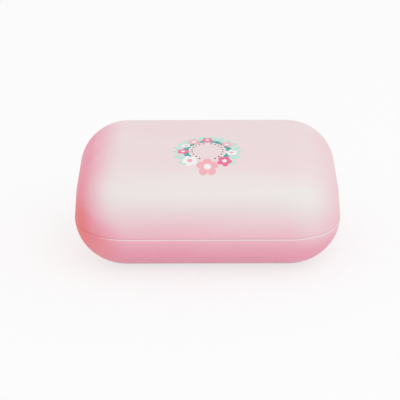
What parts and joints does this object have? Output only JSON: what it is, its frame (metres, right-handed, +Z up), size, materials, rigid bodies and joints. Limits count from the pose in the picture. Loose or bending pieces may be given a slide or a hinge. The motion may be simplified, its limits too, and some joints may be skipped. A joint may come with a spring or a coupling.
{
  "type": "travel soap box",
  "caption": "Pillow-shaped travel soap box: a deep lid that lifts off a shallow base on a snap lap joint, with a slotted drain tray inside to keep the bar dry.",
  "frame": {"origin": "middle of the foot that the box stands on", "axes": "+X along the box's length, -Y towards its front, +Z up, the way the lid lifts"},
  "size_m": [0.115, 0.076, 0.05],
  "materials": {
    "pearl_pink_plastic": "pearlescent pink, moulded, soft gloss",
    "tray_plastic": "plain pale pink, moulded, satin"
  },
  "bodies": {
    "base": {"base_shell": "pearl_pink_plastic"},
    "lid": {"lid_shell": "pearl_pink_plastic"},
    "tray": {"drain_tray": "tray_plastic"}
  },
  "joints": [
    {"name": "lid_lift", "type": "slide", "parent": "base", "child": "lid", "axis": [0, 0, 1], "range_m": [0, 0.06]},
    {"name": "tray_lift", "type": "slide", "parent": "base", "child": "tray", "axis": [0, 0, 1], "range_m": [0, 0.03]}
  ]
}
